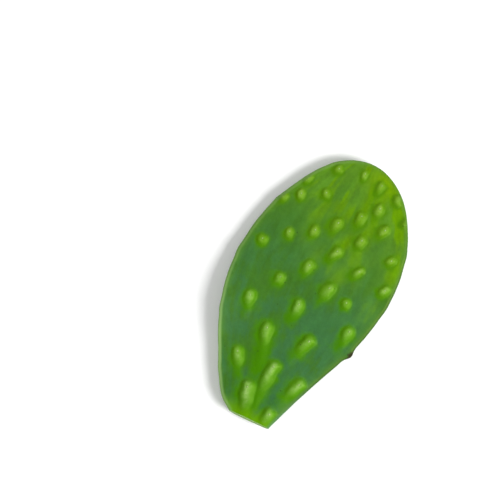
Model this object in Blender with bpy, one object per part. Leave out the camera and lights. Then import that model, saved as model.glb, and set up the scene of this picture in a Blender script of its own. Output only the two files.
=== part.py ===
"""A prickly pear cactus pad (a young nopal), cut from its plant and lying on a surface.

The pad is one piece of plant, so it is one solid: a flattened stem with a round rim, a cut base,
and a raised bump under each areole, the small spot that spines grow from. The bumps stand in
slanting rows on both faces and along the rim, and each runs down towards the base in a tail.

The design works in millimetres, in a plan whose +Y runs up the pad from the cut at y = 0.
The solid is then centred over the origin, in metres, with its lowest flat spots at z = 0.
"""

import math
import random

import bmesh
import bpy
import numpy as np
from mathutils import Vector
from mathutils.geometry import delaunay_2d_cdt

METRES_PER_MM = 0.001

# The plan: the pad's natural outline (x, y), anticlockwise from the right of the neck. It carries
# on below the cut as the narrow neck that joined the pad to its plant.
OUTLINE = (
    (9.5, -26.0),
    (11.3, -10.0),
    (14.2, 0.0),
    (21.2, 19.0),
    (31.5, 44.0),
    (42.0, 68.0),
    (49.8, 92.0),
    (53.8, 119.0),
    (51.8, 144.5),
    (44.0, 167.5),
    (30.0, 187.6),
    (12.0, 198.6),
    (-7.0, 199.4),
    (-25.5, 189.6),
    (-41.0, 169.0),
    (-52.5, 145.0),
    (-59.0, 116.0),
    (-59.2, 88.0),
    (-52.6, 60.0),
    (-41.2, 34.0),
    (-27.6, 9.5),
    (-15.6, -1.0),
    (-10.8, -11.0),
    (-9.8, -26.0),
)
RIM_SAMPLES = 132  # points round the outline
KNIFE_SLANT = math.radians(17.0)  # the cut's face leans back a little
CUT_SNAP = 0.9  # points nearer the knife's plane than this move onto it

# Thickness, all as half of the pad's
RIM_HALF = 2.5  # where the rim's rounding ends
BASE_HALF = 4.7  # in the middle of the pad, near the cut
TIP_HALF = 3.5  # in the middle of the pad, near the tip
RIM_ROUND = 3.4  # how far in the rim's rounding reaches
RIM_SQUARENESS = 2.5  # 2 is an ellipse, more is squarer
CROWN_REACH = 34.0  # how far in the pad goes on growing thicker
RIM_STEPS = (0.0, 0.1, 0.4, 1.0)  # rings of points, as shares of the rounding

# The pad isn't flat: it is bowed along its length, dished across, and curled up at the lower left
LENGTH = 200.0
BOW_CENTRE = 112.0
BOW_RISE = 3.6
BOW_SPAN = 100.0  # from the bow's centre to where it has risen this much
DISH_CENTRE = -3.0
DISH_RISE = 1.6
DISH_SPAN = 55.0
CURL_FROM = -18.0  # x where the lower left edge starts to lift
CURL_RISE = 6.5
CURL_SPAN = 38.0
CURL_HEIGHT = 52.0  # y of the most curl
CURL_SPREAD = 44.0

# Areoles stand in slanting rows: each row is an arc through three places, with this many along it
ROWS = (
    ((11.0, 11.0), (21.0, 38.0), (37.0, 87.0), 3),
    ((-11.5, 21.0), (-2.5, 42.5), (13.0, 69.0), 3),
    ((25.0, 103.5), (36.0, 115.5), (46.5, 125.0), 2),
    ((-30.0, 40.5), (3.5, 99.0), (41.0, 143.5), 6),
    ((-37.5, 81.0), (3.5, 133.0), (39.5, 173.0), 7),
    ((-48.0, 120.5), (-3.0, 153.0), (28.0, 186.0), 7),
    ((-47.0, 153.5), (-36.0, 161.5), (-20.5, 167.0), 3),
    ((-36.0, 173.0), (-11.0, 190.0), (14.0, 188.5), 4),
)
ROW_JITTER = 1.3
BACK_SHIFT = -5.0  # the back's rows start a little lower
SPAN_BAND = 4.0  # the outline's width is taken over this much of its height, up and down
FRONT_SEED = 157935
BACK_SEED = 36
SHAPE_SEED = 1336580  # for the turn and the length of each bump

# Areoles on the rim, as (side, y, rise, spread). The large one on the right has healed over as a
# corky scar
RIM_AREOLES = (
    (1.0, 71.5, 2.1, 3.9),
    (1.0, 112.0, 0.4, 4.6),
    (1.0, 152.0, 0.4, 4.6),
    (-1.0, 24.0, 0.4, 4.6),
    (-1.0, 64.0, 0.5, 4.6),
    (-1.0, 106.0, 0.5, 4.6),
    (-1.0, 150.0, 0.4, 4.6),
)

# One bump, before its size factor: half-widths and reaches from the areole, and height
BUMP_HALF_WIDTH = 4.9
BUMP_TIPWARD = 4.8  # the steep side, towards the tip
BUMP_BASEWARD = 6.4  # the gentle side
MIDLINE_STRETCH = 0.5  # bumps on the middle line are this much longer on their gentle side
BASE_STRETCH = 0.9  # and so are those with the longest tails
BUMP_BLUNTNESS = 2.4  # 2 is an ellipse, more is blunter at both ends
BUMP_FULLNESS = 1.1  # more gives a flatter top
BUMP_SOFTNESS = 1.5  # more gives a gentler foot
BUMP_RISE = 1.9
RISE_POWER = 1.5  # of the size factor
BASE_FACTOR = 1.16  # size factor at the cut
TIP_FACTOR = 0.72  # and at the tip
SIZE_SPREAD = 0.13
FAN_REACH = 58.0  # up to about here the bumps fan out from the neck
FAN_DEPTH = 15.0  # from a point this far below the cut
LEAN = 8.0  # degrees to the right further up, on the line x = 0
LEAN_GAIN = 0.28  # degrees more for each millimetre to the right
TURN_SPREAD = math.radians(13.0)
LENGTH_SPREAD = 0.2
MIDLINE_GAIN = 0.14  # bumps along the pad's middle are larger
MIDLINE_START = -12.0  # x of the middle at y = 0
MIDLINE_SLOPE = 0.14
MIDLINE_SPREAD = 14.0
TAIL_LENGTH = 19.0  # the longest tail, on the bumps near the base
TAIL_HEIGHT = 48.0  # y where the longest tails start
TAIL_SPREAD = 38.0
TAIL_LEAST = 3.0
TAIL_SHARE = 0.24  # of the bump's rise
PIT_RADIUS = 1.2  # the areole itself is a small dimple in the bump's top
PIT_DEPTH = 0.22
RIM_FADE = 3.0  # bumps die away this near the rim

# Rings of points round each areole, as (share of the bump's reach, points)
BUMP_RINGS = ((0.3, 8), (0.55, 10), (0.8, 12), (1.06, 12))
CLASH_WIDTH = 1.25  # a bump's points keep this far from an earlier bump, as shares of its reach
CLASH_TIPWARD = 1.3
CLASH_BASEWARD = 1.2
POINT_SPACING = 1.0  # the least between two points of the bumps
TAIL_STEP = 3.2  # points along a tail
TAIL_START = 0.8  # of a step beyond the outermost ring
TAIL_RUNGS = (-0.9, -0.45, 0.0, 0.45, 0.9)  # points across a tail, as shares of the half-width
FILL_STEP = 6.4  # points between the bumps
FILL_CLEARANCE = 0.62  # of the step
RIM_CLEARANCE = 1.1

PRESSED_DEPTH = 0.85  # the lowest bumps are pressed flat where the pad lies on them
SHARP_ANGLE = math.radians(50.0)
SKIN_COLOUR = (0.075, 0.22, 0.045, 1.0)
SKIN_ROUGHNESS = 0.42


def clear_scene():
    for obj in list(bpy.data.objects):
        bpy.data.objects.remove(obj, do_unlink=True)


# ---------------------------------------------------------------- the outline


def closed_spline(knots, steps=24):
    """A closed Catmull-Rom curve through the knots, as many short chords."""
    knots = np.array(knots, float)
    t = np.linspace(0.0, 1.0, steps, endpoint=False)[:, None]
    spans = []
    for i in range(len(knots)):
        before, start, end, after = (knots[(i + k) % len(knots)] for k in (-1, 0, 1, 2))
        spans.append(
            0.5
            * (
                2.0 * start
                + (end - before) * t
                + (2.0 * before - 5.0 * start + 4.0 * end - after) * t**2
                + (3.0 * start - before - 3.0 * end + after) * t**3
            )
        )
    return np.concatenate(spans)


def evenly_spaced(loop, count):
    """The same closed line with points at equal distances along it."""
    closed = np.vstack([loop, loop[:1]])
    along = np.concatenate([[0.0], np.cumsum(np.linalg.norm(np.diff(closed, axis=0), axis=1))])
    wanted = np.linspace(0.0, along[-1], count, endpoint=False)
    return np.stack([np.interp(wanted, along, closed[:, k]) for k in (0, 1)], axis=1)


def outward_normals(loop):
    """Unit normals of an anticlockwise closed line."""
    along = np.roll(loop, -1, axis=0) - np.roll(loop, 1, axis=0)
    normals = np.stack([along[:, 1], -along[:, 0]], axis=1)
    return normals / np.linalg.norm(normals, axis=1)[:, None]


def outline(count):
    """The pad's outline with a low swelling at each areole on the rim."""
    loop = evenly_spaced(closed_spline(OUTLINE), count)
    swelling = np.zeros(count)
    for side, height, rise, spread in RIM_AREOLES:
        own_side = loop[loop[:, 0] * side > 0.0]
        place = own_side[np.abs(own_side[:, 1] - height).argmin()]
        away = np.linalg.norm(loop - place, axis=1)
        swelling += rise * np.exp(-((away / spread) ** 2))
    return loop + outward_normals(loop) * swelling[:, None]


def edge_distance(points, loop):
    """How far each point is from the outline, as the nearest point of its chords."""
    start = loop[None]
    chord = np.roll(loop, -1, axis=0)[None] - start
    offset = points[:, None] - start
    share = np.clip((offset * chord).sum(axis=2) / (chord**2).sum(axis=2), 0.0, 1.0)
    return np.linalg.norm(offset - share[..., None] * chord, axis=2).min(axis=1)


def inside(points, loop):
    """Which points lie within the closed line, by the even-odd rule."""
    x, y = points[:, :1], points[:, 1:]
    x0, y0 = loop[:, 0], loop[:, 1]
    x1, y1 = np.roll(loop, -1, axis=0).T
    spans = (y0 > y) != (y1 > y)
    rise = np.where(y1 == y0, 1.0, y1 - y0)
    crossing = x0 + (y - y0) * (x1 - x0) / rise
    return (spans & (x < crossing)).sum(axis=1) % 2 == 1


# ---------------------------------------------------------------- the surface


def smooth_step(value):
    value = np.clip(value, 0.0, 1.0)
    return value * value * (3.0 - 2.0 * value)


def middle_height(x, y):
    """The sheet halfway between the two faces."""
    bow = BOW_RISE * ((y - BOW_CENTRE) / BOW_SPAN) ** 2
    dish = DISH_RISE * ((x - DISH_CENTRE) / DISH_SPAN) ** 2
    beyond = np.clip(CURL_FROM - x, 0.0, None) / CURL_SPAN
    curl = CURL_RISE * beyond**2 * np.exp(-(((y - CURL_HEIGHT) / CURL_SPREAD) ** 2))
    return bow + dish + curl


def half_thickness(y, edge):
    """Half of the pad's thickness, from the distance to its edge."""
    turned = 1.0 - np.clip(edge / RIM_ROUND, 0.0, 1.0)
    rounding = (1.0 - turned**RIM_SQUARENESS) ** (1.0 / RIM_SQUARENESS)
    full = BASE_HALF + (TIP_HALF - BASE_HALF) * np.clip(y / LENGTH, 0.0, 1.0)
    crown = 1.0 - (1.0 - np.clip(edge / CROWN_REACH, 0.0, 1.0)) ** 2
    return RIM_HALF * rounding + (full - RIM_HALF) * crown


def midline_share(x, y):
    """1 on the pad's middle line, dying away to either side."""
    return math.exp(-(((x - MIDLINE_START - MIDLINE_SLOPE * y) / MIDLINE_SPREAD) ** 2))


def growth_direction(x, y, extra_turn):
    """The way a bump points: it fans out from the neck, and leans right further up."""
    fan = math.atan2(x, y + FAN_DEPTH)
    lean = math.radians(LEAN + LEAN_GAIN * x)
    near_neck = math.exp(-((y / FAN_REACH) ** 2))
    turn = near_neck * fan + (1.0 - near_neck) * lean + extra_turn
    return np.array([math.sin(turn), math.cos(turn)])


class Bump:
    """One raised bump with its areole on top and a tail running towards the base."""

    def __init__(self, x, y, factor, turn, length):
        self.place = np.array([x, y])
        self.forward = growth_direction(x, y, turn)
        self.side = np.array([self.forward[1], -self.forward[0]])
        drawn_out = math.exp(-(((y - TAIL_HEIGHT) / TAIL_SPREAD) ** 2))
        stretch = 1.0 + MIDLINE_STRETCH * midline_share(x, y) + BASE_STRETCH * drawn_out
        self.half_width = BUMP_HALF_WIDTH * factor
        self.tipward = BUMP_TIPWARD * factor
        self.baseward = BUMP_BASEWARD * factor * stretch * length
        self.rise = BUMP_RISE * factor**RISE_POWER
        self.tail = (TAIL_LEAST + (TAIL_LENGTH - TAIL_LEAST) * drawn_out) * factor

    def local(self, points):
        offset = points - self.place
        return offset @ self.forward, offset @ self.side

    def height(self, points):
        ahead, aside = self.local(points)
        reach = np.where(ahead > 0.0, self.tipward, self.baseward)
        across = (aside / self.half_width) ** 2
        away = np.abs(ahead / reach) ** BUMP_BLUNTNESS + across
        mound = np.clip(1.0 - away**BUMP_FULLNESS, 0.0, 1.0) ** BUMP_SOFTNESS
        half_tail = (self.tail + self.baseward) / 2.0
        ridge = 1.0 - ((ahead + half_tail) / half_tail) ** 2 - across
        ridge = TAIL_SHARE * np.clip(ridge, 0.0, 1.0) ** 2
        pit = np.exp(-((ahead**2 + aside**2) / PIT_RADIUS**2) ** 2)
        return self.rise * (mound + ridge * (1.0 - mound)) - PIT_DEPTH * pit

    def points(self):
        """Rings round the areole, and a ladder of points down the tail."""
        found = [self.place]
        for share, count in BUMP_RINGS:
            for k in range(count):
                turn = 2.0 * math.pi * (k + 0.5) / count
                reach = self.tipward if math.cos(turn) > 0.0 else self.baseward
                ahead = share * reach * math.cos(turn)
                aside = share * self.half_width * math.sin(turn)
                found.append(self.place + ahead * self.forward + aside * self.side)
        ahead = -self.baseward * BUMP_RINGS[-1][0] - TAIL_STEP * TAIL_START
        while ahead > -(self.tail + self.baseward):
            for share in TAIL_RUNGS:
                aside = share * self.half_width
                found.append(self.place + ahead * self.forward + aside * self.side)
            ahead -= TAIL_STEP
        return np.array(found)


def size_factor(x, y):
    """Bumps grow smaller towards the tip, and larger near the pad's middle line."""
    taper = BASE_FACTOR + (TIP_FACTOR - BASE_FACTOR) * y / LENGTH
    return taper * (1.0 + MIDLINE_GAIN * midline_share(x, y))


def arc_through(start, middle, end, share):
    """A point on the parabola that passes the three places at shares 0, 1/2 and 1."""
    start, middle, end = (np.array(p) for p in (start, middle, end))
    return (
        start * (1.0 - share) * (1.0 - 2.0 * share)
        + middle * 4.0 * share * (1.0 - share)
        + end * share * (2.0 * share - 1.0)
    )


def span_at(loop, y):
    """The outline's middle and half-width at a height."""
    near = loop[np.abs(loop[:, 1] - y) < SPAN_BAND, 0]
    return (near.max() + near.min()) / 2.0, (near.max() - near.min()) / 2.0


def bumps_of(face, loop):
    """The bumps of the front (+1) or the back (-1), which has the same rows turned over."""
    draw = random.Random(FRONT_SEED if face > 0 else BACK_SEED)
    shape_draw = random.Random(SHAPE_SEED)
    found = []
    for start, middle, end, count in ROWS:
        for k in range(count):
            x, y = arc_through(start, middle, end, k / (count - 1))
            x += draw.uniform(-ROW_JITTER, ROW_JITTER)
            y += draw.uniform(-ROW_JITTER, ROW_JITTER)
            if face < 0:
                centre, _ = span_at(loop, y)
                x, y = 2.0 * centre - x, y + BACK_SHIFT
            factor = size_factor(x, y) * (1.0 + draw.uniform(-SIZE_SPREAD, SIZE_SPREAD))
            turn = shape_draw.uniform(-TURN_SPREAD, TURN_SPREAD)
            length = 1.0 + shape_draw.uniform(-LENGTH_SPREAD, LENGTH_SPREAD)
            found.append(Bump(x, y, factor, turn, length))
    return found


def face_height(points, face, bumps, loop):
    """z of the front or back face over each point of the plan."""
    x, y = points.T
    edge = edge_distance(points, loop)
    relief = sum(bump.height(points) for bump in bumps) * smooth_step(edge / RIM_FADE)
    return middle_height(x, y) + face * (half_thickness(y, edge) + relief)


# ---------------------------------------------------------------- the mesh


def fill_points(loop, taken):
    """An even triangular grid over the plan, kept clear of the points already there."""
    low, high = loop.min(axis=0), loop.max(axis=0)
    grid = []
    for row, y in enumerate(np.arange(low[1], high[1], FILL_STEP * math.sqrt(0.75))):
        for x in np.arange(low[0], high[0], FILL_STEP):
            grid.append((x + FILL_STEP / 2.0 * (row % 2), y))
    grid = np.array(grid)
    far = np.linalg.norm(grid[:, None] - taken[None], axis=2).min(axis=1)
    return grid[far > FILL_STEP * FILL_CLEARANCE]


def plan_of_face(bumps, inner, loop):
    """The points of one face inside its innermost rim ring, and the triangles between them."""
    own = []
    for k, bump in enumerate(bumps):
        points = bump.points()
        for other in bumps[:k]:
            ahead, aside = other.local(points)
            clash = np.abs(aside) < other.half_width * CLASH_WIDTH
            clash &= ahead < other.tipward * CLASH_TIPWARD
            clash &= ahead > -other.baseward * CLASH_BASEWARD
            points = points[~clash]
        own.append(points)
    own = thinned(np.concatenate(own))
    points = np.concatenate([own, fill_points(inner, np.concatenate([own, inner]))])
    keep = inside(points, inner) & (edge_distance(points, loop) > RIM_ROUND + RIM_CLEARANCE)
    points = points[keep]
    rim = [Vector(p) for p in inner]
    everything = rim + [Vector(p) for p in points]
    edges = [(k, (k + 1) % len(rim)) for k in range(len(rim))]
    made = delaunay_2d_cdt(everything, edges, [], 1, 1e-5)
    if len(made[0]) != len(everything):
        raise ValueError("two points of the plan fell together")
    return np.array([tuple(v) for v in made[0]]), made[2], made[3]


def thinned(points):
    """Drops each point that lies too near an earlier one."""
    kept = []
    for point in points:
        if all(abs(point[0] - k[0]) + abs(point[1] - k[1]) > POINT_SPACING for k in kept):
            kept.append(point)
    return np.array(kept)


def add_face(mesh, face, loop, rings, equator):
    """Adds one face of the pad to the bmesh, from the shared rim line inwards."""
    bumps = bumps_of(face, loop)
    lines = [equator]
    for ring in rings[1:]:
        z = face_height(ring, face, bumps, loop)
        lines.append([mesh.verts.new((*p, h)) for p, h in zip(ring, z)])
    for outer, inner in zip(lines, lines[1:]):
        for k in range(len(outer)):
            after = (k + 1) % len(outer)
            quad = (outer[k], outer[after], inner[after], inner[k])
            mesh.faces.new(quad if face > 0 else quad[::-1])
    points, triangles, origins = plan_of_face(bumps, rings[-1], loop)
    z = face_height(points, face, bumps, loop)
    count = len(rings[-1])
    verts = []
    for k, (point, height) in enumerate(zip(points, z)):
        source = origins[k][0]
        verts.append(lines[-1][source] if source < count else mesh.verts.new((*point, height)))
    for a, b, c in triangles:
        mesh.faces.new((verts[a], verts[b], verts[c]) if face > 0 else (verts[c], verts[b], verts[a]))


def cut_at_neck(mesh):
    """Cuts the neck off with one stroke of a knife, and closes the cut with one flat face."""
    centre = Vector((0.0, 0.0, middle_height(0.0, 0.0)))
    normal = Vector((0.0, -math.cos(KNIFE_SLANT), math.sin(KNIFE_SLANT)))
    for vert in mesh.verts:
        off = (vert.co - centre).dot(normal)
        if abs(off) < CUT_SNAP:
            vert.co -= normal * off
    everything = mesh.verts[:] + mesh.edges[:] + mesh.faces[:]
    bmesh.ops.bisect_plane(
        mesh, geom=everything, dist=1e-4, plane_co=centre, plane_no=normal, clear_outer=True
    )
    rim = [edge for edge in mesh.edges if edge.is_boundary]
    bmesh.ops.contextual_create(mesh, geom=rim)


def lay_down(mesh):
    """Presses the lowest bumps flat on the surface and centres the pad over the origin."""
    floor = min(vert.co.z for vert in mesh.verts) + PRESSED_DEPTH
    low_x, high_x = (pick(vert.co.x for vert in mesh.verts) for pick in (min, max))
    low_y, high_y = (pick(vert.co.y for vert in mesh.verts) for pick in (min, max))
    centre = Vector(((low_x + high_x) / 2.0, (low_y + high_y) / 2.0, floor))
    for vert in mesh.verts:
        vert.co -= centre
        vert.co.z = max(vert.co.z, 0.0)
        vert.co *= METRES_PER_MM


def build_pad():
    loop = outline(RIM_SAMPLES)
    normals = outward_normals(loop)
    rings = [loop - normals * RIM_ROUND * step for step in RIM_STEPS]
    mesh = bmesh.new()
    middle = middle_height(loop[:, 0], loop[:, 1])
    equator = [mesh.verts.new((*p, h)) for p, h in zip(loop, middle)]
    for face in (1, -1):
        add_face(mesh, face, loop, rings, equator)
    cut_at_neck(mesh)
    lay_down(mesh)
    bmesh.ops.triangulate(mesh, faces=[f for f in mesh.faces if len(f.verts) > 3])
    data = bpy.data.meshes.new("pad")
    mesh.to_mesh(data)
    mesh.free()
    data.shade_smooth()
    data.set_sharp_from_angle(angle=SHARP_ANGLE)
    return data


def skin_material():
    material = bpy.data.materials.new("pad_skin")
    material.use_nodes = True
    shader = material.node_tree.nodes["Principled BSDF"]
    shader.inputs["Base Color"].default_value = SKIN_COLOUR
    shader.inputs["Roughness"].default_value = SKIN_ROUGHNESS
    shader.inputs["Metallic"].default_value = 0.0
    return material


def main():
    clear_scene()
    data = build_pad()
    data.materials.append(skin_material())
    pad = bpy.data.objects.new("pad", data)
    bpy.context.scene.collection.objects.link(pad)


main()
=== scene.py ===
"""The looks of a young prickly pear pad (a nopal) that lies on a pale surface.

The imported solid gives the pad's place. This script lays a fine skin over it, made by the same
formulas in the same millimetre plan, whose +Y runs up the pad from the cut at y = 0: the round rim,
the raised bumps under the areoles with their tails, the cut end and the corky scar. It adds small
felted cushions in the areoles, and builds the materials from nodes.
"""

import math
import random

import bmesh
import bpy
import numpy as np
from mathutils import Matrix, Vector, noise
from mathutils.geometry import delaunay_2d_cdt


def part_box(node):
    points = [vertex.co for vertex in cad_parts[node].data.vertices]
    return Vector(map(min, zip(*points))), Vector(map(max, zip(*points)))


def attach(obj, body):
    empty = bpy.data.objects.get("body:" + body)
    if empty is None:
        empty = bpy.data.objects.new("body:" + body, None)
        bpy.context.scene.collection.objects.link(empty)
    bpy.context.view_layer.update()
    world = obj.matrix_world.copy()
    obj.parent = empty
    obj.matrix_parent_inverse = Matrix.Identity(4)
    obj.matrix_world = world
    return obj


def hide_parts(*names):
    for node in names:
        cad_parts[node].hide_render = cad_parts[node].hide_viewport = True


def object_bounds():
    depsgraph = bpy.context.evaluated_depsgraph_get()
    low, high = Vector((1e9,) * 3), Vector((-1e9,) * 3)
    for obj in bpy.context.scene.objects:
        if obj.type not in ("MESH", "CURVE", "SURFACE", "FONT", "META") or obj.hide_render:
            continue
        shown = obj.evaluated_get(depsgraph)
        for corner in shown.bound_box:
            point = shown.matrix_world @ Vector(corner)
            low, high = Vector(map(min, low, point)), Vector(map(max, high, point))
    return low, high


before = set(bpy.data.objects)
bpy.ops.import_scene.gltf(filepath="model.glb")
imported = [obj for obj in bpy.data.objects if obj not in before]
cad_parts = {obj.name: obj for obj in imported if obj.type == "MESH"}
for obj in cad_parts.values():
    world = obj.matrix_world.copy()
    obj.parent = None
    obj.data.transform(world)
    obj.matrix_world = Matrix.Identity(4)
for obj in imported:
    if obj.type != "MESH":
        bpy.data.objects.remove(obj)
CAD_BOX = [list(corner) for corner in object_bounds()]

MM = 0.001  # metres

# ------------------------------------------------------------------------------------ the pad's form
# These are the solid's own driving dimensions, in millimetres. A height is a y of the plan

OUTLINE = (
    (9.5, -26.0),
    (11.3, -10.0),
    (14.2, 0.0),
    (21.2, 19.0),
    (31.5, 44.0),
    (42.0, 68.0),
    (49.8, 92.0),
    (53.8, 119.0),
    (51.8, 144.5),
    (44.0, 167.5),
    (30.0, 187.6),
    (12.0, 198.6),
    (-7.0, 199.4),
    (-25.5, 189.6),
    (-41.0, 169.0),
    (-52.5, 145.0),
    (-59.0, 116.0),
    (-59.2, 88.0),
    (-52.6, 60.0),
    (-41.2, 34.0),
    (-27.6, 9.5),
    (-15.6, -1.0),
    (-10.8, -11.0),
    (-9.8, -26.0),
)
RIM_AREOLES = (  # side, y, rise, spread; the first has healed over as the corky scar
    (1.0, 71.5, 2.1, 3.9),
    (1.0, 112.0, 0.4, 4.6),
    (1.0, 152.0, 0.4, 4.6),
    (-1.0, 24.0, 0.4, 4.6),
    (-1.0, 64.0, 0.5, 4.6),
    (-1.0, 106.0, 0.5, 4.6),
    (-1.0, 150.0, 0.4, 4.6),
)
LENGTH = 200.0
SPAN_BAND = 4.0  # the outline's width is taken over this much of its height, up and down
KNIFE_SLANT = math.radians(17.0)  # the cut leans back, so it shows from above

RIM_HALF = 2.5  # half of the thickness where the rim's rounding ends
BASE_HALF = 4.7  # in the middle of the pad, near the cut
TIP_HALF = 3.5  # in the middle of the pad, near the tip
RIM_ROUND = 3.4
RIM_SQUARENESS = 2.5
CROWN_REACH = 34.0  # how far in the pad goes on growing thicker

BOW_CENTRE = 112.0
BOW_RISE = 3.6
BOW_SPAN = 100.0
DISH_CENTRE = -3.0
DISH_RISE = 1.6
DISH_SPAN = 55.0
CURL_FROM = -18.0  # x where the lower left edge starts to lift
CURL_RISE = 6.5
CURL_SPAN = 38.0
CURL_HEIGHT = 52.0
CURL_SPREAD = 44.0

ROWS = (  # three places on each row's arc, and its number of areoles
    ((11.0, 11.0), (21.0, 38.0), (37.0, 87.0), 3),
    ((-11.5, 21.0), (-2.5, 42.5), (13.0, 69.0), 3),
    ((25.0, 103.5), (36.0, 115.5), (46.5, 125.0), 2),
    ((-30.0, 40.5), (3.5, 99.0), (41.0, 143.5), 6),
    ((-37.5, 81.0), (3.5, 133.0), (39.5, 173.0), 7),
    ((-48.0, 120.5), (-3.0, 153.0), (28.0, 186.0), 7),
    ((-47.0, 153.5), (-36.0, 161.5), (-20.5, 167.0), 3),
    ((-36.0, 173.0), (-11.0, 190.0), (14.0, 188.5), 4),
)
ROW_JITTER = 1.3
BACK_SHIFT = -5.0  # the back's rows start a little lower
FRONT_SEED = 157935
BACK_SEED = 36
SHAPE_SEED = 1336580  # for the turn and the length of each bump
TINT_SEED = 3

BUMP_HALF_WIDTH = 4.9
BUMP_TIPWARD = 4.8
BUMP_BASEWARD = 6.4
MIDLINE_STRETCH = 0.5
BASE_STRETCH = 0.9
BUMP_BLUNTNESS = 2.4
BUMP_FULLNESS = 1.1
BUMP_SOFTNESS = 1.5
BUMP_RISE = 1.9
RISE_POWER = 1.5
BASE_FACTOR = 1.16  # size factor at the cut
TIP_FACTOR = 0.72  # and at the tip
SIZE_SPREAD = 0.13
FAN_REACH = 58.0  # up to about here the bumps fan out from the neck
FAN_DEPTH = 15.0  # from a point this far below the cut
LEAN = 8.0  # degrees to the right further up, on the line x = 0
LEAN_GAIN = 0.28  # degrees more for each millimetre to the right
TURN_SPREAD = math.radians(13.0)
LENGTH_SPREAD = 0.2
MIDLINE_GAIN = 0.14
MIDLINE_START = -12.0
MIDLINE_SLOPE = 0.14
MIDLINE_SPREAD = 14.0
TAIL_LENGTH = 19.0
TAIL_HEIGHT = 48.0
TAIL_SPREAD = 38.0
TAIL_LEAST = 3.0
TAIL_SHARE = 0.24
PIT_RADIUS = 1.2
PIT_DEPTH = 0.22
RIM_FADE = 3.0  # bumps die away this near the rim

# ------------------------------------------------------------------------- what the fine skin adds

SPLINE_STEPS = 60
RIM_SAMPLES = 640
RIM_STEPS = (0.0, 0.02, 0.07, 0.15, 0.27, 0.42, 0.62, 0.82, 1.0)
FILL_STEP = 0.85  # between the points of the skin
FILL_CLEARANCE = 0.55  # this share of a step is kept free along the border
MERGE_DISTANCE = 1e-6
CUT_STEP = 0.5  # between the points of the cut face
CUT_SNAP = 0.25  # points nearer the knife's plane than this move onto it
CUT_ACCURACY = 1e-4
DISTANCE_CHUNK = 3000  # points measured at a time
SHARP_ANGLE = math.radians(50.0)

SWELL_RISE = 0.16  # slow unevenness of the flesh under the skin
SWELL_SIZE = 17.0
SWELL_ONSET = 3.0  # it is full at the crown's reach divided by this
FACES_APART = 50.0  # the two faces read the noise this far above and below the plan
WARP_REACH = 1.1  # how far the outlines of the bumps wander
WARP_SIZE = 6.5
RIM_WAVE = 0.22  # the rim's unevenness, sideways
RIM_WAVE_SIZE = 9.0
FLESH_SINK = 0.55  # the cut flesh shrinks back from its skin
FLESH_EDGE = 2.4
FLESH_RELIEF = 0.1
FLESH_LUMP = 1.6
SWELL_OFFSET, RIM_OFFSET, FLESH_OFFSET = 1.3, 3.7, 8.1  # where each reads the noise
WARP_OFFSETS = (11.3, 27.9)

AREOLE_RADIUS = 0.6
AREOLE_LEAST = 0.25  # smaller ones are left out
AREOLE_STRETCH = 1.25
AREOLE_HEIGHT = 0.42
AREOLE_SUNK = 0.12
AREOLE_SIDES = 14
AREOLE_RINGS = ((1.0, 0.0), (0.82, 0.55), (0.5, 0.9))  # shares of the radius and of the height
AREOLE_RIM_GAP = 0.5  # there are no cushions in this share of the rim's fade

# ----------------------------------------------------------------- tints of the skin, by place on it

# Round a bump, as shares of its reach and half-width
# The crest is a paler top with a painted highlight on it
CREST_LENGTH = 0.56
CREST_WIDTH = 0.35
CREST_EDGE = 1.2  # the powers set how crisp each tint's edge is
SHOULDER_REACH = 0.8
SHOULDER_EDGE = 1.6
HALO_REACH = 1.3
HALO_EDGE = 1.3
HALO_SHIFT = 0.3  # the halo is drawn towards the base by this share of the half-width
HALO_STRENGTH = 0.9
SPOT_RADIUS = 0.9  # millimetres

# The tail's tint comes in behind the areole and fades out again towards the base
TAIL_TINT_WIDTH = 1.05
TAIL_TINT_REACH = 1.5
TAIL_TINT_ENTRY = (4.0, 0.4)  # how steeply, and from what
TAIL_TINT_FADE = 1.3
TAIL_TINT_LEAST = 0.15
PLAIN_TAIL, STEM_TAIL, FLANK_TAIL = 0.5, 1.3, 0.8  # how bold it is for each kind of bump
LINK_REACH = 12.0  # joins a tail's tint to the next bump down
LINK_SHARE = 0.6
STEM_X = -12.0  # the bright strip that runs down into the neck
STEM_SPREAD = 12.0
STEM_WIDENING = 0.3
FLANK_FROM = 12.0  # x where the right flank's long tails start
FLANK_RISE = 20.0
FLANK_HEIGHT = 78.0
FLANK_SPREAD = 30.0

# The lead: a lime streak ahead of the bumps on the middle line
LEAD_REACH = 26.0
LEAD_WIDTH = 0.95
LEAD_ENTRY = (3.0, 0.5)
LEAD_FADE = 1.5
LEAD_FROM = 85.0  # height
LEAD_RISE = 30.0

PALENESS = (0.3, 0.85)  # of a bump's crest, a paler top with a painted highlight on it, drawn for each bump
PALE_HEIGHT = 60.0  # below about here the crests are paler
PALE_LEAST = 0.25

# The rim: a painted highlight, pale where it catches the light on the left, over a rim a little paler
# all round; painted shade, dark on the right against the key light's glare
SIDE_OVERLAP = 12.0
SIDE_FADE = 40.0
PALE_RIM = (1.0, 2.2)  # where it starts to fade, and over how much
PALE_RIM_SHARES = (0.05, 0.3, 0.65)  # everywhere, on the left, and at the lower left most of all
PALE_RIM_HEIGHT = 36.0
PALE_RIM_SPREAD = 40.0
DARK_RIM = (0.6, 3.2)  # likewise
DARK_RIM_LEAST = 0.45  # what is left of it at the tip
DARK_RIM_TOP = 170.0
DARK_RIM_FADE = 40.0
REFLECTION_WIDTH = 1.8  # a painted bluish reflection along the front's lower right edge
REFLECTION_HEIGHT = 30.0
MARGIN_WIDTH = 4.5  # where lime patches edge the pad
HOLLOW = ((6.0, 22.0), (6.0, 20.0))  # centre and spread of the painted shade of a hollow above the neck; the surface is not sunk there
SUNNED = ((14.0, 192.0), (15.0, 9.0))  # and of the yellowed patch at the tip
ACROSS_UNIT = 55.0  # x is stored as a share of this

SCAR_REACH = 8.0  # where the corky scar's brown has died away
SCAR_SQUASH = 1.7  # it is this much narrower across the rim

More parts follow.
